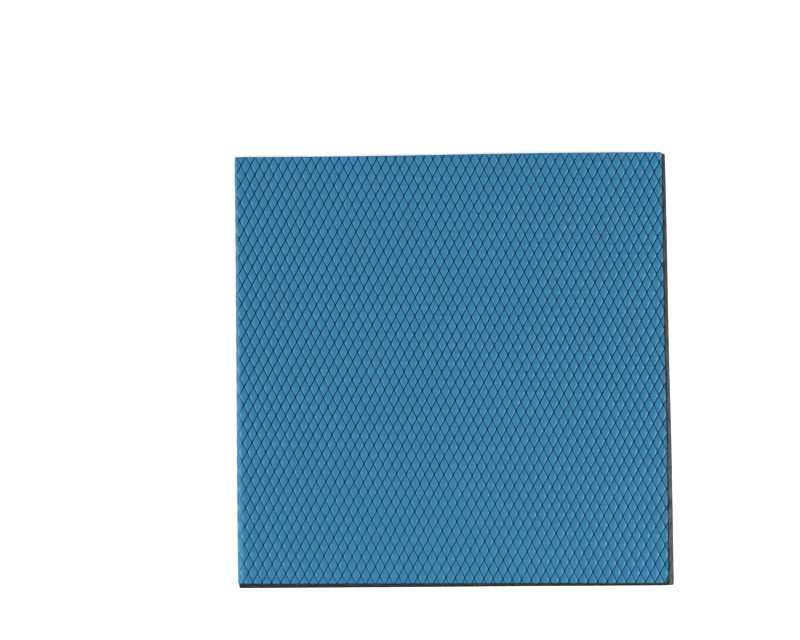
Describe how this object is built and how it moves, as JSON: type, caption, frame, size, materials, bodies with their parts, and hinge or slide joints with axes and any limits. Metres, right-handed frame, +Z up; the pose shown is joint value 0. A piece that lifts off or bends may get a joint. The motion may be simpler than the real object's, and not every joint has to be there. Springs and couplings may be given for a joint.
{
  "type": "thermal pad sheet",
  "caption": "Square sheet of soft dark grey silicone gap filler under a blue embossed release film, cut to size and laid between a hot part and its heatsink.",
  "frame": {"origin": "on the surface that the sheet lies on, under the middle of the sheet's outline", "axes": "+Z up through the sheet's thickness to the embossed film, +X to the right and +Y to the back of the sheet as it lies in the picture"},
  "size_m": [0.1014, 0.1013, 0.0023],
  "materials": {
    "filled_silicone": "matt, slightly tacky",
    "release_film": "satin, embossed with a net of diamonds"
  },
  "bodies": {
    "root": {"thermal_pad": "filled_silicone", "embossed_liner": "release_film"}
  },
  "joints": []
}
